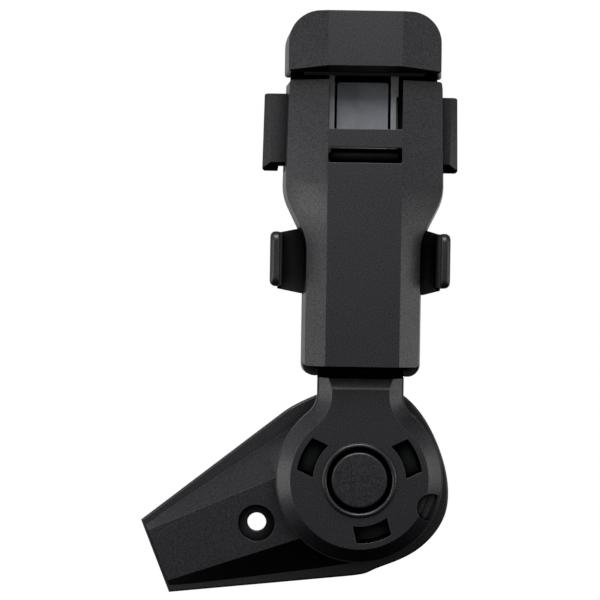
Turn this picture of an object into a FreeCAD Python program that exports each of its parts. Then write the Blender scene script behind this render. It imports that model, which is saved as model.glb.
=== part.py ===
"""Wall-mounted swivel bracket with a spring-loaded clamp cradle, built as separate pieces.

Frame: the base's back face lies on the plane Y = 0 and the bracket stands out towards -Y.
The swivel axis runs along Y through the origin, and +Z points up the arm.
A height h is a distance in front of the mounting face, so h = -Y. All lengths are millimetres.
"""
import FreeCAD, Part
import math
import os

# ---------------------------------------------------------------- driving dimensions
# wedge-shaped base
BASE_ANGLE = 202.0            # direction of the wedge's thin end, degrees from +X towards +Z
BASE_LENGTH = 64.2            # swivel axis to the thin end
BASE_END_HALF = 11.4          # half width of the thin end
BASE_SIDE_OFFSET = -1.0       # the wedge's centre line passes this far beside the swivel axis
SIDE_ANGLE = 16.0             # each straight side's angle to the centre line
ROUND_FROM_U = 14.0           # the straight sides end here and the round end begins
ROUND_END = ((-6.0, 26.95), (3.0, 26.9), (12.0, 24.9), (19.6, 19.6), (24.2, 9.7), (25.2, 0.0))
FLANGE_H = 3.0                # thickness of the rim all round
RIDGE_END_H = 3.9             # height of the ridge at the thin end
RIDGE_TOP_H = 14.0            # height of the ridge and drum under the head
DRUM_R = 21.6
DRUM_FOOT_R = 23.3
SCREW_HOLE_U = 32.4           # screw hole, along and across the wedge
SCREW_HOLE_V = -1.0
SCREW_HOLE_R = 2.75
COUNTERBORE_R = 5.35
COUNTERBORE_FLOOR_H = 8.0
SCREW_RELIEF_R = 6.0          # round hollow behind the screw hole
SCREW_RELIEF_H = 5.0

# swivel head
HEAD_H0 = 14.5                # underside of the head
HEAD_H1 = 26.0                # flat front of the head
HEAD_R = 23.9
HEAD_BEVEL = 4.2
HEAD_LEDGE = 0.4              # width of the ledge at the foot of the bevel
HEAD_LEDGE_H = 22.0
RIM_R0 = 9.3
RIM_R1 = 10.6
WINDOW_ANGLES = (155.0, 25.1, -75.3)
WINDOW_R0 = 13.2
WINDOW_R1 = 18.0
WINDOW_WIDE = 10.1
NOTCH_ANGLE = -20.5
NOTCH_AT_R = 21.8
NOTCH_R = 4.0
NOTCH_FLOORS = ((19.9, 24.1), (21.9, 22.9), (23.0, 22.1))   # (outer radius, h) of each step of its floor

# pivot and lock
BOLT_R = 3.0
RUNNING = 0.05                # radial clearance of a running fit
BUTTON_R = 8.05
BUTTON_H0 = 22.4
BUTTON_H1 = 26.2
SPIDER_H0 = 20.1
SPIDER_H1 = 22.4

# neck between head and body
NECK_HALF = 12.35
NECK_BLEND_R = 7.5
NECK_H1 = 20.5                # front of the neck's tongue inside the body
NECK_FLOOR_H = 17.8           # front of the sunk part of the neck, next to the body
NECK_END_Z = 32.1
NECK_SLOPE = ((25.8, 26.0), (28.9, 25.0), (29.3, 17.8))   # (z, h) down from the head to the sunk part

# body: outline half widths at the parting plane, and heights
BODY_TOP_HALF = 22.1
BODY_WIDE_HALF = 22.8
BODY_NARROW_HALF = 16.7
BODY_TOP_Z = 113.1
BODY_BOTTOM_Z = 32.4
REAR_BOTTOM_Z = 29.5
REAR_CORNER_R = 3.4
SHOULDER_Z0 = 68.3
SHOULDER_Z1 = 80.8
SHOULDER_R = 15.0
BODY_FLARE = 0.075            # sideways taper per millimetre of height
REAR_H0 = 14.6
PARTING_H = 22.0
FRONT_H1 = 34.0
FACET_HALF = 10.4             # half width of the flat front facet
FACET_EDGE_WIDE_H = 29.7      # heights at which the side facets end, in the wide and narrow parts
FACET_EDGE_NARROW_H = 30.2
SKIN = 1.9

WINDOW_HALF = 10.4            # opening at the top of the front shell
WINDOW_Z = 99.2
SLOT_Z0 = 89.7
SLOT_Z1 = 94.1

# fasteners
BOSSES = ((-12.6, 38.0), (12.6, 38.0), (-18.2, 82.0), (18.2, 82.0))
BOSS_R = 2.4
SHELL_SCREW_R = 1.1
SCREW_HEAD_R = 2.0
NECK_SCREWS = (37.0, 45.5)

# sliding jaw
JAW_Z0 = 115.0
JAW_LIP_H = 34.5              # in front of this height the underside rises
JAW_LIP_RISE = 1.35
JAW_Z1 = 131.7
JAW_H0 = 16.0
JAW_H1 = 40.0
JAW_SHIFT = -0.5              # the jaw cap sits a little left of the body
JAW_REAR_HALF = 22.6
JAW_FRONT_HALF = 21.1
JAW_CORNER_R = 8.4
JAW_POST_Z = 125.0
JAW_SCREWS = (-9.0, 9.0)
LEG_IN = 12.2
LEG_OUT = 15.4
STRIP_HALF = 7.25
STRIP_Z0 = 76.0
STRIP_Z1 = 113.0

CARRIER_SHIFT = -0.75         # the strip and its rails sit a little left of the window's middle
RAIL_IN = 8.0
RAIL_OUT_LEFT = 9.5
RAIL_OUT_RIGHT = 10.1
RAIL_H1 = 27.0
RAIL_STEP = 0.6               # the right rail is this much narrower below RAIL_STEP_Z
RAIL_STEP_Z = 109.0
CHANNEL_H0 = 21.6
CHANNEL_Z1 = 118.2
CHANNEL_WEB_Z1 = 96.0         # the web ends behind the bridge; above it only the rails go on
STRIP_H0 = 23.2
STRIP_H1 = 25.4
ROLLER_R = 2.15
ROLLER_H = 29.45
ROLLER_Z = 91.9
SPRING_X = 11.6
SPRING_H = 24.0
SPRING_Z0 = 46.0
SPRING_Z1 = 75.5

# side grip arms
GRIP_Z0 = 52.9
GRIP_Z1 = 71.6
GRIP_H0 = 17.2
GRIP_H1 = 20.2
GRIP_OUT = {"left": 26.3, "right": 24.4}
LIP_THICK = 2.6
LIP_CORNER_R = 1.5
LIP_Z0 = 54.8
LIP_Z1 = 70.2
LIP_H1 = 34.4
PINION_Z = 62.5
PINION_TEETH = 10
GEAR_MODULE = 0.8
RACK_TIP = 3.38
AXLE_R = 1.2
BAR_IN = 4.8
BAR_OUT = 7.8
BAR_REACH = 13.2

# release tabs
TAB_Z0 = 88.0
TAB_TOP = {"left": 109.9, "right": 109.4}
TAB_H0 = 16.9
TAB_H1 = 21.7
TAB_IN = 21.6                 # the tabs reach in under the front shell's edge
TAB_OUT = {"left": 28.7, "right": 26.5}
TAB_FLARE = 0.4               # the tabs are this much further out at the bottom
TAB_STRIP_TOP = 1.5           # width of the sloping outer strip at the top and at the bottom
TAB_STRIP_LOW = 2.4
TAB_TRAVEL = 0.8
TAB_STEM_IN = 16.6
TAB_STEM_Z0 = 92.0
TAB_STEM_Z1 = 106.0

CLEAR = 0.3                   # gap between pieces that move past each other
SIDES = (("left", -1), ("right", 1))


# ---------------------------------------------------------------- helpers
def vec(x, h, z):
    """Point at height h in front of the mounting face."""
    return FreeCAD.Vector(x, -h, z)


OUTWARD = FreeCAD.Vector(0, -1, 0)
ORIGIN = FreeCAD.Vector(0, 0, 0)


def rounded_wire(corners, h):
    """Closed wire at height h through (x, z, radius) corners, each rounded by its own radius."""
    starts = []
    ends = []
    arcs = []
    count = len(corners)
    for i, (x, z, radius) in enumerate(corners):
        here = vec(x, h, z)
        last = corners[i - 1]
        following = corners[(i + 1) % count]
        back = (vec(last[0], h, last[1]) - here).normalize()
        ahead = (vec(following[0], h, following[1]) - here).normalize()
        if radius == 0:
            starts.append(here)
            ends.append(here)
            arcs.append(None)
            continue
        half = back.getAngle(ahead) / 2
        cut = radius / math.tan(half)
        middle = (back + ahead).normalize()
        starts.append(here + back * cut)
        ends.append(here + ahead * cut)
        nearest = here + middle * (radius / math.sin(half) - radius)
        arcs.append(Part.Arc(starts[-1], nearest, ends[-1]).toShape())
    edges = []
    for i in range(count):
        if arcs[i] is not None:
            edges.append(arcs[i])
        begin = ends[i]
        end = starts[(i + 1) % count]
        if begin.distanceToPoint(end) > 1e-6:
            edges.append(Part.makeLine(begin, end))
    return Part.Wire(edges)


def plate(corners, h0, h1):
    """Straight plate between heights h0 and h1."""
    return Part.Face(rounded_wire(corners, h0)).extrude(OUTWARD * (h1 - h0))


def drafted(rear, front, h0, h1):
    """Plate whose outline changes evenly from the rear corners to the front corners."""
    return Part.makeLoft([rounded_wire(rear, h0), rounded_wire(front, h1)], True, True)


def block(x0, x1, h0, h1, z0, z1):
    """Plain block between two corners."""
    return Part.makeBox(x1 - x0, h1 - h0, z1 - z0, FreeCAD.Vector(x0, -h1, z0))


def disc(radius, h0, h1, x=0.0, z=0.0):
    """Cylinder along Y."""
    return Part.makeCylinder(radius, h1 - h0, vec(x, h0, z), OUTWARD)


def ring(r0, r1, h0, h1, x=0.0, z=0.0):
    """Hollow cylinder along Y."""
    return disc(r1, h0, h1, x, z).cut(disc(r0, h0 - 1, h1 + 1, x, z))


def moved(shape, x, h=0.0, z=0.0):
    """Shape moved by x, h and z."""
    copy = shape.copy()
    copy.translate(vec(x, h, z))
    return copy


def mirrored(shape):
    """Mirror image across the arm's centre plane."""
    return shape.mirror(ORIGIN, FreeCAD.Vector(1, 0, 0))


def about_axis(shape, degrees):
    """Turn a shape about the swivel axis, from +X towards +Z."""
    turned_shape = shape.copy()
    turned_shape.rotate(ORIGIN, OUTWARD, degrees)
    return turned_shape


def join(shapes):
    """One solid from several that overlap or share faces."""
    whole = shapes[0]
    for shape in shapes[1:]:
        whole = whole.fuse(shape)
    return whole.removeSplitter()


def rounded(shape, radius, wanted):
    """Round every edge that wanted(edge) picks, or keep the shape where rounding isn't possible."""
    edges = [edge for edge in shape.Edges if wanted(edge)]
    if not edges:
        return shape
    try:
        result = shape.makeFillet(radius, edges)
    except Part.OCCError:
        return shape
    return result if result.isValid() else shape


def edge_heights(edge):
    """Lowest and highest h of an edge."""
    return -edge.BoundBox.YMax, -edge.BoundBox.YMin


def at_height(h, tolerance=0.01):
    """Picker for edges that lie at one height."""
    def wanted(edge):
        low, high = edge_heights(edge)
        return abs(low - h) < tolerance and abs(high - h) < tolerance
    return wanted


def save(name, shape):
    """Write one node."""
    os.makedirs("parts", exist_ok=True)
    solids = shape.Solids
    kept = solids[0] if len(solids) == 1 else Part.makeCompound(solids)
    print(name, len(solids), "solid(s)", round(kept.Volume), "mm3", "valid", kept.isValid())
    kept.exportStep("parts/" + name + ".step")


# ---------------------------------------------------------------- base
def half_width(u):
    """Half width of the base's straight-sided part at distance u from the swivel axis."""
    return BASE_END_HALF + math.tan(math.radians(SIDE_ANGLE)) * (BASE_LENGTH - u)


def base_outline():
    """Teardrop wire: straight tapering sides, a straight thin end and a broad round end."""
    side_start = vec(ROUND_FROM_U, 0, half_width(ROUND_FROM_U))
    side_end = vec(BASE_LENGTH, 0, BASE_END_HALF)
    upper = [vec(-u, 0, v) for u, v in ROUND_END]
    lower = [vec(point.x, 0, -point.z) for point in reversed(upper[:-1])]
    points = [side_start] + upper + lower + [vec(ROUND_FROM_U, 0, -side_start.z)]
    slope = (side_start - side_end).normalize()
    curve = Part.BSplineCurve()
    curve.interpolate(Points=points, InitialTangent=slope, FinalTangent=vec(-slope.x, 0, slope.z))
    corners = [points[-1], vec(BASE_LENGTH, 0, -BASE_END_HALF), side_end, side_start]
    edges = [Part.makeLine(corners[i], corners[i + 1]) for i in range(3)]
    return Part.Wire([curve.toShape()] + edges)


def placed_base(shape):
    """Move a shape drawn along the wedge to the wedge's real side and direction."""
    moved = shape.copy()
    moved.translate(FreeCAD.Vector(0, 0, BASE_SIDE_OFFSET))
    return about_axis(moved.mirror(ORIGIN, FreeCAD.Vector(0, 0, 1)), BASE_ANGLE)


def base_section(u, feet, top_half, foot_h, top_h):
    """Trapezoid across the wedge at distance u, with its lower and upper foot this far from the middle."""
    low_foot, high_foot = feet
    points = [vec(u, foot_h, -low_foot), vec(u, top_h, -top_half),
              vec(u, top_h, top_half), vec(u, foot_h, high_foot)]
    return Part.makePolygon(points + [points[0]])


def base_plate():
    """Wedge-shaped base moulding with its ridge, drum, ribbed back and counterbored screw hole."""
    flange = Part.Face(base_outline()).extrude(OUTWARD * FLANGE_H)
    flange = rounded(flange, 0.6, at_height(FLANGE_H))
    foot_h = FLANGE_H - 1.0
    thin = base_section(BASE_LENGTH - 0.9, (11.2, 10.9), 8.0, foot_h, RIDGE_END_H)
    full = base_section(22.0, (21.2, 19.6), 9.5, foot_h, RIDGE_TOP_H)
    under = base_section(4.6, (24.4, 23.0), 20.5, foot_h, RIDGE_TOP_H)
    ridge = [Part.makeLoft([thin, full], True, True), Part.makeLoft([full, under], True, True)]
    drum = Part.makeCone(DRUM_FOOT_R, DRUM_R, RIDGE_TOP_H - 1.0, vec(0, 1.0, 0), OUTWARD)
    body = join([placed_base(shape) for shape in [flange] + ridge] + [drum])
    thin_hollow = base_section(BASE_LENGTH - 10, (9.6, 9.6), 6.6, -1.0, 3.4)
    full_hollow = base_section(42.0, (12.0, 12.0), 7.4, -1.0, 6.4)
    hollow = Part.makeLoft([thin_hollow, full_hollow], True, True)
    relief = disc(SCREW_RELIEF_R, -1, SCREW_RELIEF_H, SCREW_HOLE_U, SCREW_HOLE_V)
    screw = disc(SCREW_HOLE_R, -1, 30, SCREW_HOLE_U, SCREW_HOLE_V)
    sink = disc(COUNTERBORE_R, COUNTERBORE_FLOOR_H, 30, SCREW_HOLE_U, SCREW_HOLE_V)
    for cutter in (hollow, relief, screw, sink):
        body = body.cut(placed_base(cutter))
    body = body.cut(ring(10.0, 18.5, -1.0, RIDGE_TOP_H - 2.4))
    spoke = block(9.5, 19.0, 0, RIDGE_TOP_H - 2.0, -0.9, 0.9)
    body = join([body] + [about_axis(spoke, angle) for angle in range(0, 360, 60)])
    body = body.cut(disc(BOLT_R + RUNNING, -1, 30))
    return body.cut(hexagon(5.0 + RUNNING, -1.0, 4.6))


def hexagon(across_half, h0, h1):
    """Hexagonal prism about the swivel axis."""
    reach = across_half / math.cos(math.pi / 6)
    corners = [(reach * math.cos(math.radians(a)), reach * math.sin(math.radians(a)), 0)
               for a in range(0, 360, 60)]
    return plate(corners, h0, h1)


def pivot_nut():
    """Hexagonal nut pressed into the back of the base."""
    return hexagon(5.0, 0.5, 4.6).cut(disc(BOLT_R, -1, 6))


def toothed_ring():
    """Fixed index ring on the drum, with inward teeth round the lock's shoes."""
    tooth_tip = 17.7
    web = ring(11.9, 18.9, RIDGE_TOP_H, RIDGE_TOP_H + 1.6)
    wall = ring(18.3, 18.9, RIDGE_TOP_H, 23.0)
    teeth = []
    count = 48
    for i in range(count):
        tooth = block(tooth_tip, 18.5, 19.6, 22.9, -0.55, 0.55)
        teeth.append(about_axis(tooth, 360.0 * i / count))
    return join([web, wall] + teeth)


def pivot_bolt():
    """Shouldered bolt through the base, the washer and the head."""
    shank = disc(BOLT_R, 0.5, 17.4)
    cap = disc(5.5, 17.0, 19.6)
    cap = rounded(cap, 0.5, at_height(19.6))
    socket = hexagon(2.0, 18.0, 21.0)
    return join([shank, cap]).cut(socket)


def thrust_washer():
    """Flat washer between the bolt's head and the floor of the swivel head."""
    return ring(BOLT_R + RUNNING, 6.6, 16.3, 17.0)


# ---------------------------------------------------------------- swivel head
def head_window(angle):
    """Cutter for one window in the head's flat front."""
    half = WINDOW_WIDE / 2
    sector = ring(WINDOW_R0, WINDOW_R1, 22.0, 30.0)
    band = block(0, 30, 22.0, 30.0, -half, half)
    return about_axis(sector.common(band), angle)


def head_outline():
    """Wire round the head and neck: a disc that runs into the neck through concave arcs."""
    reach = NECK_HALF
    centre_x = reach + NECK_BLEND_R
    centre_z = math.sqrt((HEAD_R + NECK_BLEND_R) ** 2 - centre_x ** 2)
    on_disc = HEAD_R / (HEAD_R + NECK_BLEND_R)
    low = (centre_x * on_disc, centre_z * on_disc)
    towards = vec(low[0] + reach - 2 * centre_x, 0, low[1] - centre_z).normalize()
    middle = (centre_x + towards.x * NECK_BLEND_R, centre_z + towards.z * NECK_BLEND_R)
    h = HEAD_H0
    right = [vec(x, h, z) for x, z in (low, middle, (reach, centre_z))]
    left = [vec(-point.x, h, point.z) for point in right]
    end_right = vec(reach, h, NECK_END_Z)
    end_left = vec(-reach, h, NECK_END_Z)
    edges = [Part.Arc(right[0], vec(0, h, -HEAD_R), left[0]).toShape(),
             Part.Arc(left[0], left[1], left[2]).toShape(),
             Part.makeLine(left[2], end_left),
             Part.makeLine(end_left, end_right),
             Part.makeLine(end_right, right[2]),
             Part.Arc(right[2], right[1], right[0]).toShape()]
    return Part.Wire(edges)


def head_solid():
    """Head and neck with one bevel all round on a narrow ledge, sunk where the neck enters the body."""
    outline = Part.Face(head_outline())
    foot = outline.extrude(OUTWARD * (HEAD_LEDGE_H - HEAD_H0))
    foot = rounded(foot, 0.2, at_height(HEAD_LEDGE_H))
    upper = outline.makeOffset2D(-HEAD_LEDGE).extrude(OUTWARD * (HEAD_H1 - HEAD_H0))
    on_top = at_height(HEAD_H1)
    edges = [edge for edge in upper.Edges if on_top(edge) and edge.BoundBox.ZMin < NECK_END_Z - 1.0]
    solid = upper.makeChamfer(HEAD_BEVEL - HEAD_LEDGE, edges).fuse(foot).removeSplitter()
    slope = [vec(-20, h, z) for z, h in NECK_SLOPE]
    around = [vec(-20, NECK_FLOOR_H, 60), vec(-20, 40, 60), vec(-20, 40, NECK_SLOPE[0][0])]
    cutter = Part.Face(Part.makePolygon(slope + around + slope[:1]))
    return solid.cut(cutter.extrude(FreeCAD.Vector(40, 0, 0)))


def neck_tongue():
    """Flat tongue of the neck inside the body, drilled for the neck screws."""
    root = block(-8.2, 8.2, REAR_H0 + SKIN, NECK_FLOOR_H, 27.0, 40.0)
    tongue = plate([(-8.2, NECK_END_Z, 0), (-8.2, 50.0, 3), (8.2, 50.0, 3), (8.2, NECK_END_Z, 0)],
                   REAR_H0 + SKIN, NECK_H1).fuse(root)
    for z in NECK_SCREWS:
        tongue = tongue.cut(disc(SHELL_SCREW_R, 10, 30, 0, z))
    return tongue


def arm_head():
    """Round swivel head with its bevel, rim, button well, three windows, notch and neck."""
    solid = head_solid().fuse(neck_tongue())
    cavity = ring(11.5, 19.4, 0, 23.4)
    well = disc(RIM_R0, 16.2, 40)
    bore = disc(BOLT_R + RUNNING, 0, 40)
    bead = Part.makeTorus((RIM_R0 + RIM_R1) / 2, (RIM_R1 - RIM_R0) / 2, vec(0, HEAD_H1 + 0.15, 0), OUTWARD)
    head = solid.cut(cavity).cut(well).cut(bore).fuse(bead)
    for angle in WINDOW_ANGLES:
        head = head.cut(head_window(angle))
        head = head.cut(about_axis(block(8.0, 12.5, 17.2, 23.5, -3.8, 3.8), angle))
    cx = NOTCH_AT_R * math.cos(math.radians(NOTCH_ANGLE))
    cz = NOTCH_AT_R * math.sin(math.radians(NOTCH_ANGLE))
    inner = 0.0
    for outer, floor_h in NOTCH_FLOORS:
        step = disc(outer, floor_h, 40)
        if inner:
            step = ring(inner, outer, floor_h, 40)
        head = head.cut(disc(NOTCH_R, floor_h, 40, cx, cz).common(step))
        inner = outer
    return head


def lock_button():
    """Round push button in the middle of the head."""
    top = disc(BUTTON_R, BUTTON_H0, BUTTON_H1)
    return rounded(top, 0.7, at_height(BUTTON_H1))


def lock_spider():
    """Lock plate under the button, with three toothed shoes seen through the windows."""
    hub = ring(5.9, 8.9, SPIDER_H0, SPIDER_H1)
    pieces = [hub]
    for angle in WINDOW_ANGLES:
        arm = block(8.4, 14.0, SPIDER_H0, SPIDER_H1, -2.8, 2.8)
        shoe = ring(13.4, 17.2, SPIDER_H0, SPIDER_H1 + 0.6).common(block(0, 30, 0, 40, -4.6, 4.6))
        pieces.append(about_axis(join([arm, shoe]), angle))
    return join(pieces)


def coil(radius, wire, h0, h1, turns, x=0.0, z=0.0):
    """Round-wire helical spring along Y with its ends inside h0..h1."""
    length = h1 - h0 - 2 * wire
    helix = Part.makeHelix(length / turns, length, radius)
    start = FreeCAD.Vector(radius, 0, 0)
    section = Part.Wire(Part.makeCircle(wire, start, FreeCAD.Vector(0, 1, 0)))
    spring = Part.Wire(helix).makePipeShell([section], True, True)
    spring.rotate(ORIGIN, FreeCAD.Vector(1, 0, 0), 90)
    spring.translate(vec(x, h0 + wire, z))
    return spring


def button_spring():
    """Compression spring that pushes the lock button out."""
    return coil(7.4, 0.45, 16.4, SPIDER_H0 - 0.05, 3)


# ---------------------------------------------------------------- body shells
def body_corners(shrink, low_z, top_z, corner_r, h):
    """Outline of the body at height h: wide at the top, narrow below, inset by shrink."""
    flare = BODY_FLARE * (PARTING_H - h) - shrink
    top = BODY_TOP_HALF + flare
    wide = BODY_WIDE_HALF + flare
    narrow = BODY_NARROW_HALF + flare
    right = [(top, top_z, 0.8), (wide, SHOULDER_Z1, SHOULDER_R), (narrow, SHOULDER_Z0, SHOULDER_R),
             (narrow, low_z, corner_r)]
    left = [(-x, z, radius) for x, z, radius in reversed(right)]
    return right + left


def roof(drop):
    """Solid under the body's three front facets, lowered by drop."""
    def section(z, edge_half, edge_h):
        slope = (FRONT_H1 - edge_h) / (edge_half - FACET_HALF)
        far = 30.0
        far_h = FRONT_H1 - drop - slope * (far - FACET_HALF)
        top_h = FRONT_H1 - drop
        points = [vec(-far, -20, z), vec(-far, far_h, z), vec(-FACET_HALF, top_h, z),
                  vec(FACET_HALF, top_h, z), vec(far, far_h, z), vec(far, -20, z)]
        return Part.makePolygon(points + [points[0]])
    narrow = (BODY_NARROW_HALF - 0.5, FACET_EDGE_NARROW_H)
    wide = (BODY_WIDE_HALF - 0.6, FACET_EDGE_WIDE_H)
    spans = [(20.0, narrow, SHOULDER_Z0 - 2, narrow), (SHOULDER_Z0 - 2, narrow, SHOULDER_Z1 + 3, wide),
             (SHOULDER_Z1 + 3, wide, 130.0, wide)]
    lofts = [Part.makeLoft([section(z0, *a), section(z1, *b)], True, True) for z0, a, z1, b in spans]
    return lofts[0].fuse(lofts[1]).fuse(lofts[2])


def body_front_shell():
    """Front cover with three facets, the top window, the cross slot and screw bosses."""
    outer = drafted(body_corners(0, BODY_BOTTOM_Z, BODY_TOP_Z, 0.8, PARTING_H),
                    body_corners(0, BODY_BOTTOM_Z, BODY_TOP_Z, 0.8, FRONT_H1), PARTING_H, FRONT_H1)
    outer = outer.common(roof(0))
    inner = drafted(body_corners(SKIN, BODY_BOTTOM_Z + SKIN, BODY_TOP_Z - SKIN, 0.5, PARTING_H - 1),
                    body_corners(SKIN, BODY_BOTTOM_Z + SKIN, BODY_TOP_Z - SKIN, 0.5, FRONT_H1),
                    PARTING_H - 1, FRONT_H1)
    inner = inner.common(roof(2.2))
    shell = outer.cut(inner)
    shell = shell.cut(block(-WINDOW_HALF, WINDOW_HALF, 20, 40, WINDOW_Z, 120))
    slot = plate([(-WINDOW_HALF, SLOT_Z0, 0.6), (-WINDOW_HALF, SLOT_Z1, 0.6),
                  (WINDOW_HALF, SLOT_Z1, 0.6), (WINDOW_HALF, SLOT_Z0, 0.6)], 27, 40)
    shell = shell.cut(slot)
    bosses = [disc(BOSS_R, PARTING_H, 30.0, x, z).common(roof(1.0)) for x, z in BOSSES]
    shell = join([shell] + bosses)
    anchors = [block(min(side * 9.6, side * 14.0), max(side * 9.6, side * 14.0), 23.0, 32.0,
                     SPRING_Z0 - 2.2, SPRING_Z0).common(roof(1.0)) for side in (-1, 1)]
    shell = join([shell] + anchors + roller_cheeks())
    for x, z in BOSSES:
        shell = shell.cut(disc(SHELL_SCREW_R, 20, 28.0, x, z))
    return shell


def body_rear_shell():
    """Rear tray that carries the neck, the slides and the shell screws."""
    outer = drafted(body_corners(0, REAR_BOTTOM_Z, BODY_TOP_Z, REAR_CORNER_R, REAR_H0),
                    body_corners(0, REAR_BOTTOM_Z, BODY_TOP_Z, REAR_CORNER_R, PARTING_H), REAR_H0, PARTING_H)
    outer = rounded(outer, 0.5, at_height(REAR_H0))
    floor_h = REAR_H0 + SKIN
    inner = drafted(body_corners(SKIN, REAR_BOTTOM_Z + SKIN, BODY_TOP_Z - SKIN, 2.5, floor_h),
                    body_corners(SKIN, REAR_BOTTOM_Z + SKIN, BODY_TOP_Z - SKIN, 2.5, PARTING_H + 1),
                    floor_h, PARTING_H + 1)
    tray = outer.cut(inner)
    for x, z in BOSSES:
        tray = tray.fuse(disc(BOSS_R, REAR_H0 + 1, PARTING_H, x, z))
    for side in (-1, 1):
        guide_in = side * (LEG_IN - CLEAR)
        guide_out = side * (LEG_IN - CLEAR - 1.6)
        rail = block(min(guide_in, guide_out), max(guide_in, guide_out), REAR_H0 + 1, 20.0, 76.0, 112.0)
        tray = tray.fuse(rail)
    tray = tray.fuse(disc(2.2, REAR_H0 + 1, GRIP_H0 - CLEAR, 0, PINION_Z))
    tray = tray.cut(disc(AXLE_R, REAR_H0 + 0.6, 30, 0, PINION_Z))
    for x, z in BOSSES:
        tray = tray.cut(disc(SHELL_SCREW_R, 10, 30, x, z)).cut(disc(SCREW_HEAD_R + 0.2, 10, 16.0, x, z))
    for z in NECK_SCREWS:
        tray = tray.cut(disc(SHELL_SCREW_R, 10, 30, 0, z)).cut(disc(SCREW_HEAD_R + 0.2, 10, 16.0, 0, z))
    neck_slot = block(-NECK_HALF, NECK_HALF, 10, PARTING_H + 2, 20, NECK_END_Z + 0.1)
    grip_slots = block(-40, 40, GRIP_H0 - CLEAR, GRIP_H1 + CLEAR, GRIP_Z0 - CLEAR, GRIP_Z1 + CLEAR)
    leg_slots = block(-LEG_OUT - CLEAR, LEG_OUT + CLEAR, 16.9, PARTING_H + 2, 110.5, 120)
    for cutter in (neck_slot, grip_slots, leg_slots):
        tray = tray.cut(cutter)
    for name, side in SIDES:
        slot = block(TAB_IN - TAB_TRAVEL - 0.5, 40, floor_h, PARTING_H + 2,
                     TAB_Z0 - CLEAR, TAB_TOP[name] + CLEAR)
        tray = tray.cut(mirrored(slot) if side < 0 else slot)
    return tray


def screws(places, h_head, h_tip):
    """Group of pan-head screws driven in from the back."""
    group = []
    for x, z in places:
        head = rounded(disc(SCREW_HEAD_R, h_head, h_head + 1.3, x, z), 0.4, at_height(h_head))
        shank = disc(SHELL_SCREW_R - 0.02, h_head + 1.0, h_tip, x, z)
        recess = plate([(x - 0.3, z - 1.3, 0), (x - 0.3, z + 1.3, 0), (x + 0.3, z + 1.3, 0),
                        (x + 0.3, z - 1.3, 0)], h_head - 1, h_head + 0.7)
        across = recess.copy()
        across.rotate(vec(x, 0, z), OUTWARD, 90)
        group.append(join([head, shank]).cut(recess).cut(across))
    return Part.makeCompound(group)


# ---------------------------------------------------------------- sliding jaw
def jaw_corners(half):
    """Jaw outline: square below, large round corners above."""
    return [(-half, JAW_Z0, 0.9), (-half, JAW_Z1, JAW_CORNER_R), (half, JAW_Z1, JAW_CORNER_R),
            (half, JAW_Z0, 0.9)]


def jaw_roof(drop):
    """Solid under the jaw's three front facets."""
    points = [(-30, JAW_H1 - drop - 7.2), (-FACET_HALF, JAW_H1 - drop), (FACET_HALF, JAW_H1 - drop),
              (30, JAW_H1 - drop - 7.2), (30, 0), (-30, 0)]
    wire = Part.makePolygon([vec(x, h, 100) for x, h in points + points[:1]])
    return Part.Face(wire).extrude(FreeCAD.Vector(0, 0, 60))


def jaw_cap():
    """Outer shell of the sliding jaw, hollow from behind."""
    outer = drafted(jaw_corners(JAW_REAR_HALF), jaw_corners(JAW_FRONT_HALF), JAW_H0, JAW_H1)
    outer = outer.common(jaw_roof(0))
    inner = plate([(-18.6, JAW_Z0 + 2.2, 1), (-18.6, JAW_Z1 - 2.2, 6.5), (18.6, JAW_Z1 - 2.2, 6.5),
                   (18.6, JAW_Z0 + 2.2, 1)], JAW_H0 - 1, JAW_H1 - 2.4)
    inner = inner.common(jaw_roof(2.4))
    cap = outer.cut(inner)
    posts = [disc(2.6, JAW_H0 + 2.0, JAW_H1 - 1.5, x, JAW_POST_Z).common(jaw_roof(1.0)) for x in JAW_SCREWS]
    skirt = block(12.6, 20.9, 22.0, 25.6, BODY_TOP_Z + 0.35, JAW_Z0 + 2.4)
    cap = join([cap, skirt, mirrored(skirt)] + posts)
    lip = [vec(-30, JAW_LIP_H, JAW_Z0), vec(-30, JAW_H1, JAW_Z0 + JAW_LIP_RISE),
           vec(-30, JAW_H1, JAW_Z0 - 1), vec(-30, JAW_LIP_H, JAW_Z0 - 1)]
    cap = cap.cut(Part.Face(Part.makePolygon(lip + lip[:1])).extrude(FreeCAD.Vector(60, 0, 0)))
    for x in JAW_SCREWS:
        cap = cap.cut(disc(SHELL_SCREW_R, 10, 30, x, JAW_POST_Z))
    cap = moved(cap, JAW_SHIFT)
    cap = cap.cut(block(-LEG_OUT - 0.1, LEG_OUT + 0.1, JAW_H0 - 1, CHANNEL_H0, JAW_Z0 - 1, JAW_Z0 + 3))
    cap = cap.cut(block(-12.4, 12.4, 10, 22.5, JAW_Z0 - 1, JAW_Z0 + 3))
    rail_left = CARRIER_SHIFT - RAIL_OUT_LEFT - 0.1
    rail_right = CARRIER_SHIFT + RAIL_OUT_RIGHT + 0.1
    return cap.cut(block(rail_left, rail_right, 22.0, RAIL_H1 + 0.1, JAW_Z0 - 1, JAW_Z0 + 3))


def jaw_back():
    """Rear cover plate of the jaw."""
    plate_shape = plate([(-18.4, JAW_Z0 + 3.1, 1), (-18.4, JAW_Z1 - 2.4, 6.3), (18.4, JAW_Z1 - 2.4, 6.3),
                         (18.4, JAW_Z0 + 3.1, 1)], JAW_H0, JAW_H0 + 1.7)
    for x in JAW_SCREWS:
        plate_shape = plate_shape.cut(disc(SHELL_SCREW_R, 10, 30, x, JAW_POST_Z))
        plate_shape = plate_shape.cut(disc(SCREW_HEAD_R + 0.2, 10, JAW_H0 + 1.3, x, JAW_POST_Z))
    return moved(plate_shape, JAW_SHIFT)


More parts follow.
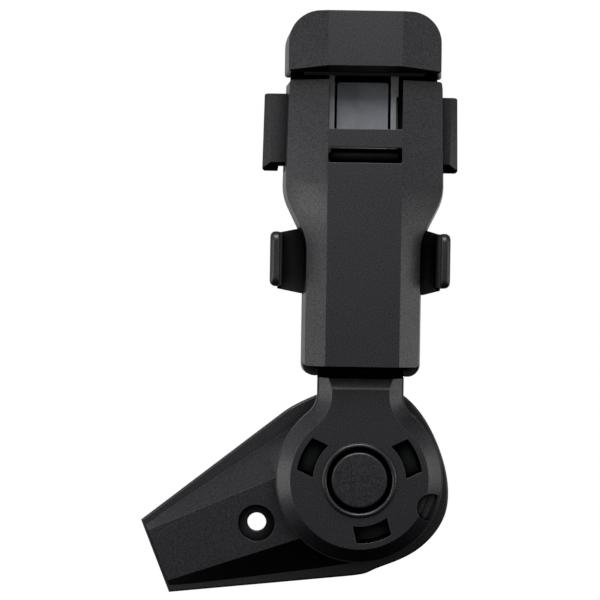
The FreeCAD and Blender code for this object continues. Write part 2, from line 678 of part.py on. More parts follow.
def jaw_pad():
    """Soft pad under the jaw's lip, where it bears on what it grips."""
    pad = plate([(-17.0, JAW_Z0 - 0.4, 0.2), (-17.0, JAW_Z0, 0), (17.0, JAW_Z0, 0),
                 (17.0, JAW_Z0 - 0.4, 0.2)], 28.5, 34.2)
    return moved(pad, JAW_SHIFT)


def jaw_slide():
    """Two legs, a web and a crossbar that guide the jaw in the rear shell."""
    pieces = []
    for side in (-1, 1):
        inner, outer = sorted((side * LEG_IN, side * LEG_OUT))
        pieces.append(block(inner, outer, 17.2, 21.2, 79.0, 121.5))
    pieces.append(block(-LEG_OUT, LEG_OUT, 18.0, 21.2, CHANNEL_Z1, 121.5))
    pieces.append(block(-LEG_IN - 0.1, LEG_IN + 0.1, 20.4, CHANNEL_H0, 79.0, 121.5))
    pieces.append(block(-10.0, 9.0, 20.0, 26.0, CHANNEL_Z1, 121.0))
    return join(pieces).cut(block(-20, 20, 16, 17.8, JAW_Z0 + 2.7, JAW_Z1))


def slide_channel():
    """Channel on the jaw's slide: a web between two upright rails, with ears for the springs."""
    left = block(-RAIL_OUT_LEFT, -RAIL_IN, CHANNEL_H0, RAIL_H1, STRIP_Z0, CHANNEL_Z1)
    right = block(RAIL_IN, RAIL_OUT_RIGHT, CHANNEL_H0, RAIL_H1, STRIP_Z0, CHANNEL_Z1)
    web = block(-RAIL_IN - 0.1, RAIL_IN + 0.1, CHANNEL_H0, STRIP_H0, STRIP_Z0, CHANNEL_WEB_Z1)
    step = block(RAIL_OUT_RIGHT - RAIL_STEP, RAIL_OUT_RIGHT + 1, STRIP_H0, 30, STRIP_Z0 - 1, RAIL_STEP_Z)
    channel = moved(join([left, right, web]).cut(step), CARRIER_SHIFT)
    ear = block(8.6, 13.0, STRIP_H0, 24.9, STRIP_Z0, STRIP_Z0 + 2.0)
    return join([channel, ear, mirrored(ear)])


def slide_strip():
    """Flat grey cover strip between the carrier rails, seen in the window."""
    top = [(-STRIP_HALF, STRIP_Z0, 0.5), (-STRIP_HALF, STRIP_Z1, 0.8), (STRIP_HALF, STRIP_Z1, 0.8),
           (STRIP_HALF, STRIP_Z0, 0.5)]
    return moved(plate(top, STRIP_H0, STRIP_H1), CARRIER_SHIFT)


def slide_roller():
    """Roller in the cross slot, just above the moving rails."""
    length = 2 * WINDOW_HALF - 1.4
    start = FreeCAD.Vector(-length / 2, -ROLLER_H, ROLLER_Z)
    along = FreeCAD.Vector(1, 0, 0)
    barrel = Part.makeCylinder(ROLLER_R, length, start, along)
    ends = [edge for edge in barrel.Edges if abs(edge.BoundBox.XLength) < 0.01]
    barrel = barrel.makeFillet(0.4, ends)
    return barrel.cut(Part.makeCylinder(0.8 + RUNNING, length + 4, start - along * 2, along))


def roller_pin():
    """Pin that carries the roller between the front shell's side walls."""
    start = FreeCAD.Vector(-WINDOW_HALF - 2.2, -ROLLER_H, ROLLER_Z)
    return Part.makeCylinder(0.8, 2 * WINDOW_HALF + 4.4, start, FreeCAD.Vector(1, 0, 0))


def roller_cheeks():
    """Two small cheeks inside the front shell that hold the roller's pin."""
    pieces = []
    for side in (-1, 1):
        inner, outer = sorted((side * (WINDOW_HALF + 0.1), side * (WINDOW_HALF + 2.4)))
        pieces.append(block(inner, outer, PARTING_H + 3.4, 31.0, ROLLER_Z - 2.4, ROLLER_Z + 2.4))
    pin_hole = Part.makeCylinder(0.8, 40, FreeCAD.Vector(-20, -ROLLER_H, ROLLER_Z), FreeCAD.Vector(1, 0, 0))
    return [piece.cut(pin_hole) for piece in pieces]


def jaw_spring(side):
    """Extension spring that pulls the jaw closed, upright beside the strip."""
    wire = 0.45
    length = SPRING_Z1 - SPRING_Z0 - 1.2
    helix = Part.makeHelix(length / 16, length, 1.7)
    section = Part.Wire(Part.makeCircle(wire, FreeCAD.Vector(1.7, 0, 0), FreeCAD.Vector(0, 1, 0)))
    spring = Part.Wire(helix).makePipeShell([section], True, True)
    spring.translate(FreeCAD.Vector(side * SPRING_X, -SPRING_H, SPRING_Z0 + 0.6))
    return spring


# ---------------------------------------------------------------- side grip arms
def rack_teeth(facing):
    """Row of rack teeth along X with tips at z = 0, pointing to facing (+1 up, -1 down)."""
    pitch = math.pi * GEAR_MODULE
    depth = 1.5
    teeth = []
    for i in range(-5, 3):
        x = i * pitch
        corners = [(x - 0.68, -facing * depth, 0), (x - 0.3, 0, 0),
                   (x + 0.3, 0, 0), (x + 0.68, -facing * depth, 0)]
        teeth.append(plate(corners, GRIP_H0 + 0.1, GRIP_H1 - 0.1))
    return teeth


def grip_arm(side):
    """Sliding side arm: outer web, upright lip and toothed bar. side -1 is the left arm."""
    web_in = 15.4
    lip_in = GRIP_OUT["left" if side < 0 else "right"] - LIP_THICK
    web = plate([(web_in, GRIP_Z0, 0.5), (web_in, GRIP_Z1, 0.5), (17.6, GRIP_Z1, 0.5),
                 (lip_in + 0.6, LIP_Z1, 0.3), (lip_in + 0.6, LIP_Z0 - 0.6, 0.3), (17.6, GRIP_Z0, 0.5)],
                GRIP_H0, GRIP_H1)
    lip = lip_shape(lip_in)
    bar_z0, bar_z1 = (BAR_IN, BAR_OUT) if side < 0 else (-BAR_OUT, -BAR_IN)
    bar = block(-BAR_REACH, web_in + 0.6, GRIP_H0, GRIP_H1, PINION_Z + bar_z0, PINION_Z + bar_z1)
    tip_z = PINION_Z + (RACK_TIP if side < 0 else -RACK_TIP)
    facing = -1 if side < 0 else 1
    teeth = []
    for tooth in rack_teeth(facing):
        tooth.translate(FreeCAD.Vector(0, 0, tip_z))
        teeth.append(tooth)
    arm = join([web, lip, bar] + teeth)
    return mirrored(arm) if side < 0 else arm


def lip_shape(lip_in):
    """Upright lip, rounded at its front corners and all round its outer face."""
    side_view = [(GRIP_H0, LIP_Z0, 0), (GRIP_H0, LIP_Z1, 0), (LIP_H1, LIP_Z1, 2.4), (LIP_H1, LIP_Z0, 2.4)]
    solid = plate(side_view, 0, LIP_THICK)
    solid.rotate(ORIGIN, FreeCAD.Vector(0, 0, 1), -90)
    box = solid.BoundBox
    solid.translate(FreeCAD.Vector(lip_in - box.XMin, -LIP_H1 - box.YMin, LIP_Z0 - box.ZMin))
    outer_x = lip_in + LIP_THICK
    solid = rounded(solid, LIP_CORNER_R,
                    lambda edge: edge.BoundBox.XMin > outer_x - 0.01 and edge.BoundBox.YMin < -GRIP_H0 - 0.5)
    return rounded(solid, 0.4,
                   lambda edge: edge.BoundBox.XMax < lip_in + 0.01 and edge.BoundBox.YMin < -GRIP_H0 - 0.5)


def grip_pad(side):
    """Soft pad on the inner face of a lip."""
    lip_in = GRIP_OUT["left" if side < 0 else "right"] - LIP_THICK
    pad = block(lip_in - 0.75, lip_in, GRIP_H1, LIP_H1 - 1.0, LIP_Z0 + 0.2, LIP_Z1 - 0.2)
    pad = rounded(pad, 0.4, lambda edge: (edge.BoundBox.XMax < lip_in - 0.7
                                          and edge.BoundBox.YMax < -GRIP_H1 - 0.1))
    return mirrored(pad) if side < 0 else pad


def pinion():
    """Small gear between the two toothed bars."""
    root = GEAR_MODULE * PINION_TEETH / 2 - 0.95
    tip = GEAR_MODULE * PINION_TEETH / 2 + 0.62
    body = disc(root, GRIP_H0, GRIP_H1)
    teeth = []
    for i in range(PINION_TEETH):
        corners = [(root - 0.4, -0.72, 0), (root + 0.6, -0.6, 0), (tip, -0.26, 0),
                   (tip, 0.26, 0), (root + 0.6, 0.6, 0), (root - 0.4, 0.72, 0)]
        tooth = plate(corners, GRIP_H0, GRIP_H1)
        teeth.append(about_axis(tooth, 360.0 * i / PINION_TEETH))
    gear = join([body] + teeth).cut(disc(AXLE_R + RUNNING, 0, 40))
    gear.translate(FreeCAD.Vector(0, 0, PINION_Z))
    return gear


def pinion_axle():
    """Axle pressed into the rear shell, with a head that keeps the pinion on."""
    return join([disc(AXLE_R, REAR_H0 + 0.6, 21.6, 0, PINION_Z), disc(2.2, 20.6, 21.6, 0, PINION_Z)])


# ---------------------------------------------------------------- release tabs
def tab_trim(z, edge, wide, deep):
    """Section of the space outside a tab's sloping outer strip, at height z along the arm."""
    far = 3.0
    far_h = TAB_H1 - deep * (wide + far) / wide
    points = [vec(edge - wide, TAB_H1, z), vec(edge + far, far_h, z), vec(edge + far, 40, z),
              vec(edge - wide, 40, z)]
    return Part.makePolygon(points + points[:1])


def release_tab(side):
    """Squeeze tab that comes out from under the front shell's edge, chamfered outside and below."""
    name = "left" if side < 0 else "right"
    out = TAB_OUT[name]
    top = TAB_TOP[name]
    face = plate([(TAB_IN, TAB_Z0 + 1.4, 0.3), (TAB_IN, top, 0.3), (out, top, 0.6),
                  (out + TAB_FLARE, TAB_Z0, 0.8), (out - 4.0, TAB_Z0, 0.3), (out - 4.2, TAB_Z0 + 1.4, 0.2)],
                 TAB_H0, TAB_H1)
    low_trim = tab_trim(TAB_Z0 - 1, out + TAB_FLARE, TAB_STRIP_LOW, 1.9)
    sections = [low_trim, tab_trim(top + 1, out, TAB_STRIP_TOP, 1.4)]
    lower = Part.Face(Part.makePolygon([vec(0, 40, TAB_Z0 + 2.3), vec(0, TAB_H1, TAB_Z0 + 2.3),
                                        vec(0, TAB_H1 - 3.8, TAB_Z0 - 1), vec(0, 40, TAB_Z0 - 1),
                                        vec(0, 40, TAB_Z0 + 2.3)])).extrude(FreeCAD.Vector(40, 0, 0))
    face = face.cut(Part.makeLoft(sections, True, True)).cut(lower)
    stem = block(TAB_STEM_IN, TAB_IN + 0.5, TAB_H0 + 0.4, TAB_H1 - 0.4, TAB_STEM_Z0, TAB_STEM_Z1)
    tab = join([face, stem])
    return mirrored(tab) if side < 0 else tab


# ---------------------------------------------------------------- build
def main():
    """Build and write every node."""
    save("base_plate", base_plate())
    save("index_ring", toothed_ring())
    save("pivot_bolt", pivot_bolt())
    save("pivot_nut", pivot_nut())
    save("thrust_washer", thrust_washer())
    save("swivel_head", arm_head())
    save("lock_button", lock_button())
    save("lock_spider", lock_spider())
    save("button_spring", button_spring())
    save("body_front_shell", body_front_shell())
    save("body_rear_shell", body_rear_shell())
    save("shell_screws", screws(BOSSES, REAR_H0 + 0.1, 27.8))
    save("neck_screws", screws([(0, z) for z in NECK_SCREWS], REAR_H0 + 0.1, NECK_H1 - 0.3))
    save("jaw_cap", jaw_cap())
    save("jaw_back", jaw_back())
    save("jaw_pad", jaw_pad())
    save("jaw_screws", screws([(x + JAW_SHIFT, JAW_POST_Z) for x in JAW_SCREWS], JAW_H0, 29.5))
    save("jaw_slide", jaw_slide())
    save("slide_channel", slide_channel())
    save("slide_strip", slide_strip())
    save("slide_roller", slide_roller())
    save("roller_pin", roller_pin())
    save("pinion", pinion())
    save("pinion_axle", pinion_axle())
    for name, side in SIDES:
        save("grip_arm_" + name, grip_arm(side))
        save("grip_pad_" + name, grip_pad(side))
        save("release_tab_" + name, release_tab(side))
        save("jaw_spring_" + name, jaw_spring(side))


main()
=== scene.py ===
"""Looks of the wall-mounted swivel clamp bracket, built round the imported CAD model. Metres throughout."""
import math

import bpy
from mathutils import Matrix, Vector


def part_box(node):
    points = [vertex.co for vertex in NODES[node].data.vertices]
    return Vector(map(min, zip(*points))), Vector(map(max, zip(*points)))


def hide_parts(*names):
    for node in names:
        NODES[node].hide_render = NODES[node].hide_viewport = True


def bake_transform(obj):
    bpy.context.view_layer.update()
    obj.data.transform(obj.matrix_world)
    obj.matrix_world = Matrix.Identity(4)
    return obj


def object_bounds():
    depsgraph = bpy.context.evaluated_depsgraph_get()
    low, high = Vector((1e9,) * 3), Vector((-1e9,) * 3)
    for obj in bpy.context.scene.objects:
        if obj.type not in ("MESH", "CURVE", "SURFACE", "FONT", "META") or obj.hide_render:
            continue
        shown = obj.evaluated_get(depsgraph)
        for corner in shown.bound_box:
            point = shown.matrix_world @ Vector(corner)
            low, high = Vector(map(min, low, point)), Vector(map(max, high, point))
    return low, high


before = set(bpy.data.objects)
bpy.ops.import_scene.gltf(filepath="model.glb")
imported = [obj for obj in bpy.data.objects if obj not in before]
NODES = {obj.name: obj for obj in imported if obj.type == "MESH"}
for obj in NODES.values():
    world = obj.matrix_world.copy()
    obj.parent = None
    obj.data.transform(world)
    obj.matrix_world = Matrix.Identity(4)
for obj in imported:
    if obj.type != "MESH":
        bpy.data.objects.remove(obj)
CAD_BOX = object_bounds()
MM = 0.001
PAINTED_SHADE_REACH = 0.009            # how far the painted gap shade looks round a face for walls that close it in
EDGE_REACH = 1.4             # worn edges reach this many edge radii from the edge
SPRING_WIRE_R = 0.45 * MM
JAW_SPRING_R = 1.7 * MM
JAW_SPRING_TURNS = 22
JAW_SPRING_CLOSED = 3        # closed turns at each end
BUTTON_SPRING_R = 7.4 * MM
BUTTON_SPRING_TURNS = 3.4
BUTTON_SPRING_CLOSED = 0.9

# surroundings: the level from below to above, then lobes as direction, start, full and strength
SKY_LEVEL = (-0.60, 0.30, 0.005)
SKY_LOBES = (
    ((-0.7, -0.7, 0), 0.75, 1.0, 0.25),
    ((0.7, -0.7, 0), 0.75, 1.0, 0.30),
    ((0, -0.94, 0.34), 0.90, 1.0, 0.70),
    ((0, -0.8, 0.6), 0.80, 1.0, 0.60),
    ((-0.7, 0, 0.7), 0.70, 1.0, 0.30),
    ((-0.85, 0.5, 0), 0.60, 1.0, 0.45),
    ((0.3, 0.95, 0.2), 0.60, 1.0, 0.60),
)
# soft boxes as name, place, aim, size and power
SOFT_BOXES = (
    ("top_front", (-0.05, -0.38, 0.46), (0.0, -0.03, 0.11), (0.45, 0.30), 3.3),
    ("side_left", (-0.45, -0.22, 0.12), (0.0, -0.02, 0.07), (0.30, 0.45), 0.25),
    ("side_right", (0.45, -0.22, 0.12), (0.0, -0.02, 0.07), (0.30, 0.45), 0.45),
    ("low_left", (-0.22, -0.05, -0.01), (0.0, -0.025, 0.03), (0.10, 0.12), 0.08),
    ("low_right", (0.22, -0.05, 0.02), (0.0, -0.025, 0.05), (0.10, 0.12), 0.08),
    ("foot_left", (-0.22, -0.22, 0.05), (-0.05, -0.01, -0.02), (0.08, 0.10), 0.10),
)


# ---------------------------------------------------------------- materials
class Shader:
    """Small helper that builds one procedural material node by node."""

    def __init__(self, name):
        self.material = bpy.data.materials.new(name)
        self.material.use_nodes = True
        self.tree = self.material.node_tree
        self.bsdf = self.tree.nodes["Principled BSDF"]
        self.place = self.tree.nodes.new("ShaderNodeTexCoord").outputs["Object"]

    def node(self, kind, **values):
        """New node with its sockets set by name (spaces written as underscores)."""
        made = self.tree.nodes.new(kind)
        for key, value in values.items():
            if hasattr(made, key):
                setattr(made, key, value)
            else:
                made.inputs[key.replace("_", " ")].default_value = value
        return made

    def link(self, source, target):
        self.tree.links.new(source, target)

    def noise(self, scale, detail=3.0, rough=0.55):
        made = self.node("ShaderNodeTexNoise", Scale=scale, Detail=detail, Roughness=rough)
        self.link(self.place, made.inputs["Vector"])
        return made.outputs["Fac"]

    def cells(self, scale):
        made = self.node("ShaderNodeTexVoronoi", Scale=scale)
        self.link(self.place, made.inputs["Vector"])
        return made.outputs["Distance"]

    def ramp(self, source, stops):
        """Colour ramp from (position, colour) stops."""
        made = self.node("ShaderNodeValToRGB")
        ramp = made.color_ramp
        while len(ramp.elements) < len(stops):
            ramp.elements.new(0.5)
        for element, (position, colour) in zip(ramp.elements, stops):
            element.position = position
            element.color = (*colour, 1.0)
        self.link(source, made.inputs["Fac"])
        return made.outputs["Color"]

    def spread(self, source, low, high, start=0.3, end=0.7):
        """Map a 0..1 pattern between start and end to values between low and high."""
        made = self.node("ShaderNodeMapRange")
        made.inputs["From Min"].default_value = start
        made.inputs["From Max"].default_value = end
        made.inputs["To Min"].default_value = low
        made.inputs["To Max"].default_value = high
        self.link(source, made.inputs["Value"])
        return made.outputs["Result"]

    def maths(self, operation, first, second):
        made = self.node("ShaderNodeMath", operation=operation)
        for index, value in enumerate((first, second)):
            if isinstance(value, (int, float)):
                made.inputs[index].default_value = value
            else:
                self.link(value, made.inputs[index])
        return made.outputs["Value"]

    def mix(self, factor, first, second):
        """Mix two colours, each a socket or a tuple."""
        made = self.node("ShaderNodeMix", data_type="RGBA")
        self.link(factor, made.inputs["Factor"])
        for name, value in (("A", first), ("B", second)):
            socket = [s for s in made.inputs if s.name == name and s.type == "RGBA"][0]
            if isinstance(value, tuple):
                socket.default_value = (*value, 1.0)
            else:
                self.link(value, socket)
        return [s for s in made.outputs if s.type == "RGBA"][0]

    def bumps(self, layers, edge=0.0):
        """Stack of bump layers as (height socket, distance in metres, strength), over rounded edges."""
        normal = None
        if edge:
            bevel = self.node("ShaderNodeBevel", samples=6, Radius=edge)
            normal = bevel.outputs["Normal"]
        for height, distance, strength in layers:
            bump = self.node("ShaderNodeBump", Strength=strength, Distance=distance)
            self.link(height, bump.inputs["Height"])
            if normal is not None:
                self.link(normal, bump.inputs["Normal"])
            normal = bump.outputs["Normal"]
        if normal is not None:
            self.link(normal, self.bsdf.inputs["Normal"])

    def painted_shade_openness(self, distance, low=0.36, high=0.80):
        """Painted shade factor: 1 on open faces, falling to 0 deep in gaps and recesses."""
        around = self.node("ShaderNodeAmbientOcclusion", samples=8, Distance=distance)
        return self.spread(around.outputs["AO"], 0.0, 1.0, low, high)

    def painted_underside_shade(self, dull):
        """Painted shade by facing: 1 on faces that look up or sideways, falling to dull on faces that look
        down.
        """
        split = self.node("ShaderNodeSeparateXYZ")
        self.link(self.tree.nodes["Texture Coordinate"].outputs["Normal"], split.inputs["Vector"])
        return self.spread(split.outputs["Z"], dull, 1.0, -0.85, -0.35)

    def edge_mask(self, radius, low=0.02, high=0.25):
        """0 on flats, 1 along sharp edges, from how far the rounded normal leaves the true one."""
        bevel = self.node("ShaderNodeBevel", samples=6, Radius=radius)
        geometry = self.node("ShaderNodeNewGeometry")
        dot = self.node("ShaderNodeVectorMath", operation="DOT_PRODUCT")
        self.link(bevel.outputs["Normal"], dot.inputs[0])
        self.link(geometry.outputs["Normal"], dot.inputs[1])
        away = self.maths("SUBTRACT", 1.0, dot.outputs["Value"])
        return self.spread(away, 0.0, 1.0, low, high)


def textured_plastic(name, tone, grain=3000.0, depth=0.00006, rough=(0.50, 0.60), edge=0.00022, specular=0.5):
    """Black moulding with a fine spark-eroded grain, faint mottling and slightly polished edges, with painted
    shade in gaps, recesses and on faces that look down, darkening both colour and reflection.
    """
    shader = Shader(name)
    grain_map = shader.noise(grain, 4.0, 0.6)
    mottle = shader.noise(60.0, 4.0, 0.6)
    specks = shader.cells(grain * 0.75)
    lighter = tuple(min(1.0, channel * 1.75 + 0.003) for channel in tone)
    darker = tuple(channel * 0.55 for channel in tone)
    base = shader.ramp(grain_map, [(0.36, darker), (0.64, lighter)])
    soft = shader.mix(shader.spread(mottle, 0.0, 0.35), base, tone)
    rubbed = tuple(channel * 1.9 + 0.006 for channel in tone)
    worn = shader.mix(shader.edge_mask(edge * EDGE_REACH), soft, rubbed)
    # painted shade: colour and reflection darken in gaps and recesses and on faces that look down
    painted_shade_fac = shader.maths("MULTIPLY", shader.painted_shade_openness(PAINTED_SHADE_REACH), shader.painted_underside_shade(0.12))
    painted_gap_shade_colour = tuple(channel * 0.05 for channel in tone)
    shader.link(shader.mix(painted_shade_fac, painted_gap_shade_colour, worn), shader.bsdf.inputs["Base Color"])
    grain_gloss = shader.spread(grain_map, rough[0], rough[1])
    gloss = shader.maths("ADD", grain_gloss, shader.spread(mottle, -0.03, 0.03))
    shader.link(gloss, shader.bsdf.inputs["Roughness"])
    sparkle = shader.spread(grain_map, specular * 0.68, specular * 1.32, 0.36, 0.64)
    shader.link(shader.maths("MULTIPLY", sparkle, painted_shade_fac), shader.bsdf.inputs["Specular IOR Level"])
    shader.bumps([(mottle, 0.0002, 0.03), (grain_map, depth, 0.34), (specks, depth * 0.7, 0.16)], edge)
    return shader.material


def smooth_plastic(name, tone, rough=(0.26, 0.36), edge=0.0002, specular=0.5, paint_gap_shade=True):
    """Smoother moulding with faint flow marks and fine scuffs, with painted shade in gaps (darker colour and
    weaker reflection) when paint_gap_shade is set.
    """
    shader = Shader(name)
    flow = shader.noise(220.0, 5.0, 0.65)
    scuffs = shader.noise(1800.0, 2.0, 0.5)
    darker = tuple(c * 0.85 for c in tone)
    lighter = tuple(c * 1.2 + 0.001 for c in tone)
    shade = shader.ramp(flow, [(0.3, darker), (0.75, lighter)])
    rubbed = tuple(channel * 1.6 + 0.006 for channel in tone)
    colour = shader.mix(shader.edge_mask(edge * EDGE_REACH), shade, rubbed)
    if paint_gap_shade:
        # painted shade: colour and reflection darken in gaps and recesses
        painted_shade_fac = shader.painted_shade_openness(PAINTED_SHADE_REACH)
        colour = shader.mix(painted_shade_fac, tuple(channel * 0.05 for channel in tone), colour)
        shader.link(shader.maths("MULTIPLY", specular, painted_shade_fac), shader.bsdf.inputs["Specular IOR Level"])
    else:
        shader.bsdf.inputs["Specular IOR Level"].default_value = specular
    shader.link(colour, shader.bsdf.inputs["Base Color"])
    gloss = shader.maths("ADD", shader.spread(flow, rough[0], rough[1]), shader.spread(scuffs, -0.04, 0.06))
    shader.link(gloss, shader.bsdf.inputs["Roughness"])
    shader.bumps([(flow, 0.00008, 0.12), (scuffs, 0.00003, 0.3)], edge)
    return shader.material


def soft_rubber(name, tone):
    """Matt elastomer with a fine pitted skin."""
    shader = Shader(name)
    pits = shader.cells(2600.0)
    haze = shader.noise(150.0, 4.0, 0.6)
    darker = tuple(c * 0.8 for c in tone)
    lighter = tuple(c * 1.5 + 0.002 for c in tone)
    shade = shader.ramp(haze, [(0.3, darker), (0.75, lighter)])
    shader.link(shade, shader.bsdf.inputs["Base Color"])
    shader.link(shader.spread(haze, 0.72, 0.88), shader.bsdf.inputs["Roughness"])
    shader.bsdf.inputs["Specular IOR Level"].default_value = 0.35
    shader.bumps([(pits, 0.00005, 0.5)], 0.0002)
    return shader.material


def plated_metal(name, tone, rough=(0.22, 0.38)):
    """Plated steel with turning marks, cloudy plating and rubbed edges."""
    shader = Shader(name)
    cloud = shader.noise(500.0, 5.0, 0.6)
    lines = shader.node("ShaderNodeTexWave", wave_type="RINGS", Scale=2200.0, Distortion=2.0, Detail=2.0)
    shader.link(shader.place, lines.inputs["Vector"])
    shade = shader.ramp(cloud, [(0.3, tuple(c * 0.75 for c in tone)), (0.7, tone)])
    bright = shader.mix(shader.edge_mask(0.00025), shade, tuple(min(1.0, c * 1.4) for c in tone))
    shader.link(bright, shader.bsdf.inputs["Base Color"])
    shader.link(shader.spread(cloud, rough[0], rough[1]), shader.bsdf.inputs["Roughness"])
    shader.bsdf.inputs["Metallic"].default_value = 1.0
    shader.bumps([(lines.outputs["Fac"], 0.00001, 0.3), (cloud, 0.00002, 0.25)], 0.0001)
    return shader.material


def paper_white(name, tone):
    """Pale seamless studio sweep."""
    shader = Shader(name)
    tooth = shader.noise(90.0, 5.0, 0.6)
    shade = shader.ramp(tooth, [(0.3, tuple(c * 0.985 for c in tone)), (0.7, tone)])
    shader.link(shade, shader.bsdf.inputs["Base Color"])
    shader.bsdf.inputs["Roughness"].default_value = 0.9
    shader.bumps([(tooth, 0.0003, 0.15)])
    return shader.material


BLACK = textured_plastic("textured_black", (0.0098, 0.0092, 0.0114), rough=(0.30, 0.36))
GRIP = smooth_plastic("satin_black", (0.0085, 0.0083, 0.0092), rough=(0.28, 0.38))
DARK_GREEN = smooth_plastic("dark_acetal", (0.0062, 0.0080, 0.0078), rough=(0.5, 0.65), specular=0.25)
# Black rubber of the pads, made very dark so it also serves as painted shade under the cap and beside the
# grip lips.
LINING_PAINTED_SHADE = soft_rubber("lining_black_painted_shade", (0.0045, 0.0045, 0.0048))
# Darker than the other blacks: this tone is partly the roller's own black and partly painted shade inside the
# slot.
ROLLER_PAINTED_SHADE = smooth_plastic("roller_black_painted_shade", (0.0035, 0.0035, 0.0038), rough=(0.45, 0.55), specular=0.12)
RAIL_GREY = smooth_plastic("slide_grey", (0.200, 0.205, 0.213), rough=(0.40, 0.52), paint_gap_shade=False)
STRIP_GREY = smooth_plastic("strip_blue_grey", (0.175, 0.186, 0.208), rough=(0.50, 0.60), paint_gap_shade=False)
PIN_BLACK = smooth_plastic("blackened_pin", (0.006, 0.006, 0.007), rough=(0.40, 0.50), specular=0.2)
STEEL = plated_metal("plated_steel", (0.62, 0.61, 0.58))
SPRING = plated_metal("spring_wire", (0.48, 0.48, 0.50), rough=(0.25, 0.34))

FINISHES = {
    BLACK: ("base_plate", "swivel_head", "body_front_shell", "body_rear_shell", "jaw_cap", "jaw_back",
            "release_tab_left", "release_tab_right", "lock_button"),
    GRIP: ("grip_arm_left", "grip_arm_right"),
    DARK_GREEN: ("index_ring", "lock_spider", "pinion", "jaw_slide"),
    ROLLER_PAINTED_SHADE: ("slide_roller",),
    RAIL_GREY: ("slide_channel",),
    STRIP_GREY: ("slide_strip",),
    LINING_PAINTED_SHADE: ("jaw_pad", "grip_pad_left", "grip_pad_right"),
    PIN_BLACK: ("roller_pin",),
    STEEL: ("pivot_bolt", "pivot_nut", "thrust_washer", "shell_screws", "neck_screws", "jaw_screws",
            "pinion_axle"),
    SPRING: ("button_spring", "jaw_spring_left", "jaw_spring_right"),
}


def finish_cad_nodes():
    """Give every CAD node its material."""
    for material, names in FINISHES.items():
        for name in names:
            node = NODES[name]
            node.data.materials.clear()
            node.data.materials.append(material)


# ---------------------------------------------------------------- pieces built here
def wire_mesh(name, points, radius, sides=10):
    """Round wire through a list of points, as one closed mesh."""
    count = len(points)
    vertices = []
    faces = []
    across = Vector((0, 0, 1)).cross(points[1] - points[0]).normalized()
    for index, point in enumerate(points):
        ahead = points[min(index + 1, count - 1)] - points[max(index - 1, 0)]
        ahead.normalize()
        across = (across - ahead * across.dot(ahead)).normalized()
        up = ahead.cross(across)
        for step in range(sides):
            turn = 2 * math.pi * step / sides
            vertices.append(point + (across * math.cos(turn) + up * math.sin(turn)) * radius)
    for ring in range(count - 1):
        for step in range(sides):
            following = (step + 1) % sides
            a = ring * sides
            b = a + sides
            faces.append((a + step, a + following, b + following, b + step))
    faces.append(tuple(reversed(range(sides))))
    faces.append(tuple(range((count - 1) * sides, count * sides)))
    mesh = bpy.data.meshes.new(name)
    mesh.from_pydata(vertices, [], faces)
    mesh.shade_smooth()
    piece = bpy.data.objects.new(name, mesh)
    bpy.context.scene.collection.objects.link(piece)
    return piece


def spring_points(low, high, centre, radius, turns, closed, up, per_turn=24):
    """Points of a coil between two distances along up, with closed turns at both ends."""
    side = Vector((1, 0, 0))
    other = up.cross(side)
    total = int(turns * per_turn)
    wire_pitch = 2 * SPRING_WIRE_R
    open_pitch = ((high - low) - 2 * closed * wire_pitch) / (turns - 2 * closed)
    points = []
    travel = low
    for index in range(total + 1):
        turn = index / per_turn
        angle = 2 * math.pi * turn
        points.append(centre + up * travel + (side * math.cos(angle) + other * math.sin(angle)) * radius)
        near_end = turn < closed or turn >= turns - closed
        travel += (wire_pitch if near_end else open_pitch) / per_turn
    return points


def springs():
    """Wire coils for the jaw springs and the button's spring, fitted to the boxes of the CAD springs, which
    are hidden.
    """
    up = Vector((0, 0, 1))
    for side in ("left", "right"):
        node = "jaw_spring_" + side
        low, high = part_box(node)
        middle = Vector(((low[0] + high[0]) / 2, (low[1] + high[1]) / 2, 0))
        points = spring_points(low[2] + SPRING_WIRE_R, high[2] - SPRING_WIRE_R, middle, JAW_SPRING_R,
                               JAW_SPRING_TURNS, JAW_SPRING_CLOSED, up)
        piece = wire_mesh("extension_spring_" + side, points, SPRING_WIRE_R)
        piece.data.materials.append(SPRING)
        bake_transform(piece)
        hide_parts(node)
    low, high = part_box("button_spring")
    outward = Vector((0, -1, 0))
    points = spring_points(-high[1] + SPRING_WIRE_R, -low[1] - SPRING_WIRE_R, Vector((0, 0, 0)),
                           BUTTON_SPRING_R, BUTTON_SPRING_TURNS, BUTTON_SPRING_CLOSED, outward, 48)
    piece = wire_mesh("return_spring", points, SPRING_WIRE_R)
    piece.data.materials.append(SPRING)
    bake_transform(piece)
    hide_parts("button_spring")


# ---------------------------------------------------------------- stage, light and camera
def area_light(name, place, aim, size, power):
    """Rectangular soft box at place, aimed at a point."""
    data = bpy.data.lights.new(name, "AREA")
    data.shape = "RECTANGLE"
    data.size, data.size_y = size
    data.energy = power
    lamp = bpy.data.objects.new(name, data)
    lamp.location = place
    lamp.rotation_euler = (Vector(aim) - Vector(place)).to_track_quat("-Z", "Y").to_euler()
    bpy.context.scene.collection.objects.link(lamp)


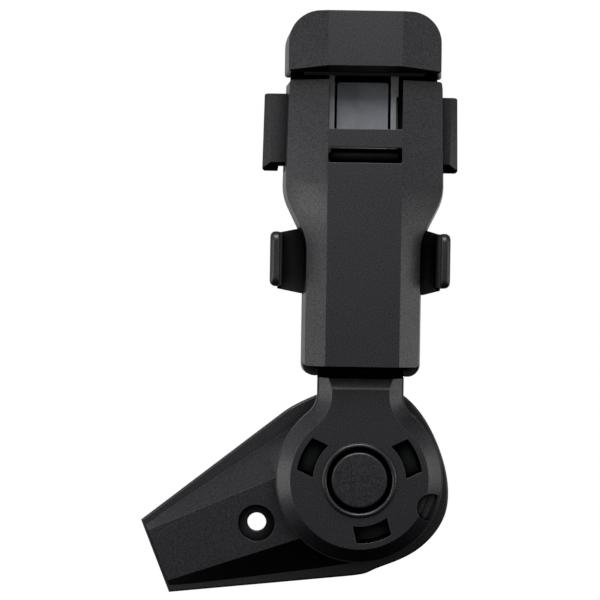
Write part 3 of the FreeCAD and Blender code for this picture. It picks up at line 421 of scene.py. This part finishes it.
def sky(tree):
    """Strength of the surroundings by direction: soft lobes on a dim level, fading out below."""
    place = tree.nodes.new("ShaderNodeTexCoord").outputs["Generated"]

    def span(source, low, high, strength):
        made = tree.nodes.new("ShaderNodeMapRange")
        made.interpolation_type = "SMOOTHSTEP"
        for name, value in (("From Min", low), ("From Max", high), ("To Min", 0.0), ("To Max", strength)):
            made.inputs[name].default_value = value
        tree.links.new(source, made.inputs["Value"])
        return made.outputs["Result"]

    def along(direction):
        made = tree.nodes.new("ShaderNodeVectorMath")
        made.operation = "DOT_PRODUCT"
        tree.links.new(place, made.inputs[0])
        made.inputs[1].default_value = Vector(direction).normalized()
        return made.outputs["Value"]

    def combined(operation, first, second):
        made = tree.nodes.new("ShaderNodeMath")
        made.operation = operation
        tree.links.new(first, made.inputs[0])
        tree.links.new(second, made.inputs[1])
        return made.outputs[0]

    total = span(along((0, 0, 1)), *SKY_LEVEL)
    for direction, low, high, strength in SKY_LOBES:
        total = combined("ADD", total, span(along(direction), low, high, strength))
    return total


def studio():
    """White surroundings for the camera, soft light from the sides and above, and a pale floor."""
    world = bpy.data.worlds.new("studio")
    world.use_nodes = True
    bpy.context.scene.world = world
    tree = world.node_tree
    seen = tree.nodes["Background"]
    seen.inputs["Color"].default_value = (1.0, 1.0, 1.0, 1.0)
    lit = tree.nodes.new("ShaderNodeBackground")
    lit.inputs["Color"].default_value = (1.0, 1.0, 1.0, 1.0)
    tree.links.new(sky(tree), lit.inputs["Strength"])
    path = tree.nodes.new("ShaderNodeLightPath")
    choose = tree.nodes.new("ShaderNodeMixShader")
    tree.links.new(path.outputs["Is Camera Ray"], choose.inputs["Fac"])
    tree.links.new(lit.outputs["Background"], choose.inputs[1])
    tree.links.new(seen.outputs["Background"], choose.inputs[2])
    tree.links.new(choose.outputs["Shader"], tree.nodes["World Output"].inputs["Surface"])

    for name, place, aim, size, power in SOFT_BOXES:
        area_light(name, place, aim, size, power)

    bpy.ops.mesh.primitive_plane_add(size=1.0, location=(0, 0, CAD_BOX[0][2] - 0.075))
    floor = bpy.context.object
    floor.name = "floor"
    floor.scale = (0.60, 0.50, 1.0)
    floor.data.materials.append(paper_white("sweep", (0.86, 0.86, 0.86)))
    floor.visible_diffuse = False
    floor.visible_glossy = False
    bpy.context.scene.view_settings.view_transform = "Standard"


def camera():
    """Camera square to the wall, a little left of and above the swivel, as in a product shot."""
    head_front = -0.026
    distance = 0.650
    field = 0.1704
    data = bpy.data.cameras.new("camera")
    data.sensor_width = 36.0
    data.lens = data.sensor_width * distance / field
    view = bpy.data.objects.new("camera", data)
    view.location = (-0.01767, head_front - distance, 0.05096)
    view.rotation_euler = (math.radians(90), math.radians(-0.9), 0)
    bpy.context.scene.collection.objects.link(view)
    bpy.context.scene.camera = view


finish_cad_nodes()
springs()
studio()
camera()
